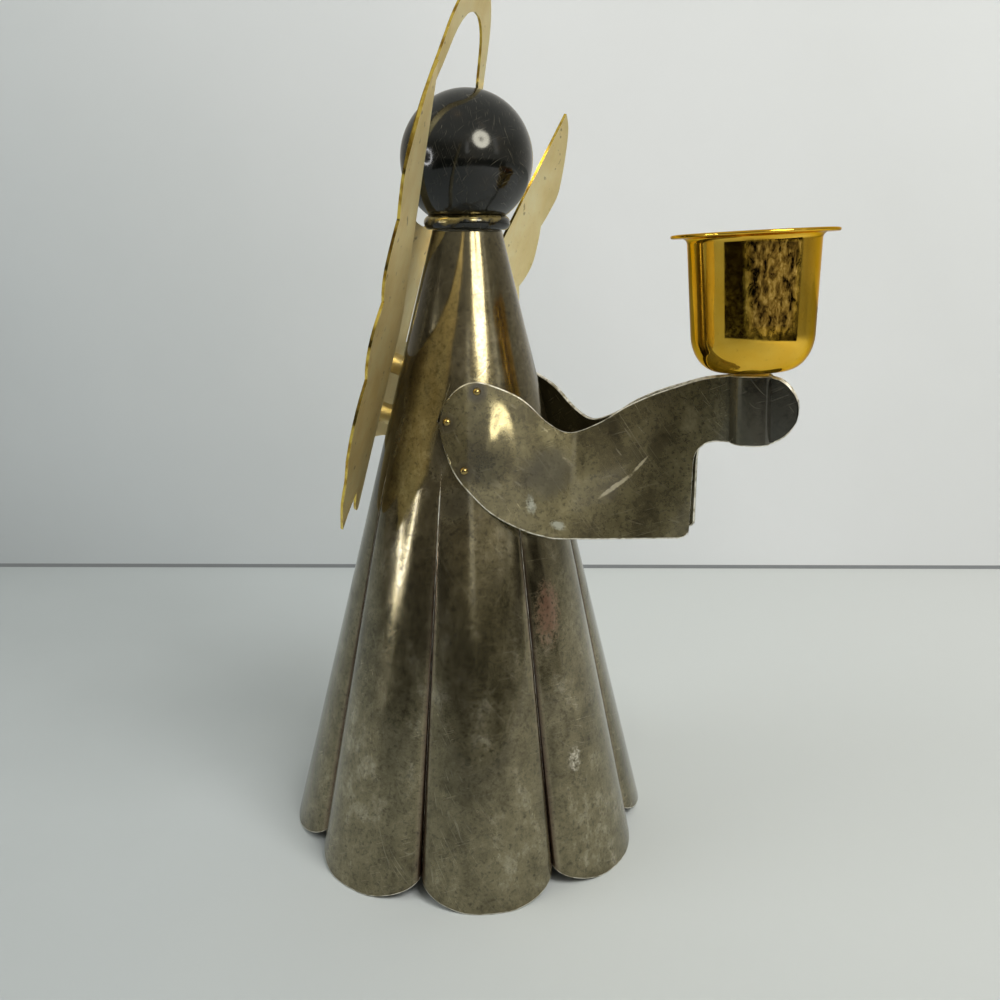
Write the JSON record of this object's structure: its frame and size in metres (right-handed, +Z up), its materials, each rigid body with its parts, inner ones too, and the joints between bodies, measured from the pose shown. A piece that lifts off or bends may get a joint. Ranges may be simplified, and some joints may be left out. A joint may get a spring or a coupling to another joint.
{
  "type": "angel candle holder",
  "caption": "Sheet-metal angel with a pleated cone robe, ball head, wings with halo, and outstretched arms that hold a cup for one taper candle.",
  "frame": {"origin": "on the table under the middle of the object's bounding box, between the back of the hem and the front of the cup's flange", "axes": "+X the way the angel looks and holds the cup, +Y its left, +Z up; Z is the longest side and Y the shortest"},
  "size_m": [0.1174, 0.0844, 0.1868],
  "materials": {
    "tarnished_silver": "aged silver plate on sheet metal, tarnished olive grey with fine scratches",
    "satin_brass": "satin golden brass sheet with dull patches",
    "polished_brass": "polished brass, worn and slightly mottled",
    "black_patina": "near-black glossy patina with worn spots",
    "zinc_steel": "plain zinc-plated steel fasteners"
  },
  "bodies": {
    "root": {"robe": "tarnished_silver", "collar_ring": "black_patina", "head_ball": "black_patina", "neck_washer": "zinc_steel", "neck_screw": "zinc_steel", "wings_and_halo": "satin_brass", "wing_spacers": "satin_brass", "wing_screws": "satin_brass", "wing_nuts": "zinc_steel", "right_arm": "tarnished_silver", "left_arm": "tarnished_silver", "right_shoulder_rivets": "tarnished_silver", "left_shoulder_rivets": "tarnished_silver", "stem_tube": "polished_brass", "candle_cup": "polished_brass", "cup_washer": "zinc_steel", "cup_screw": "zinc_steel"}
  },
  "joints": []
}
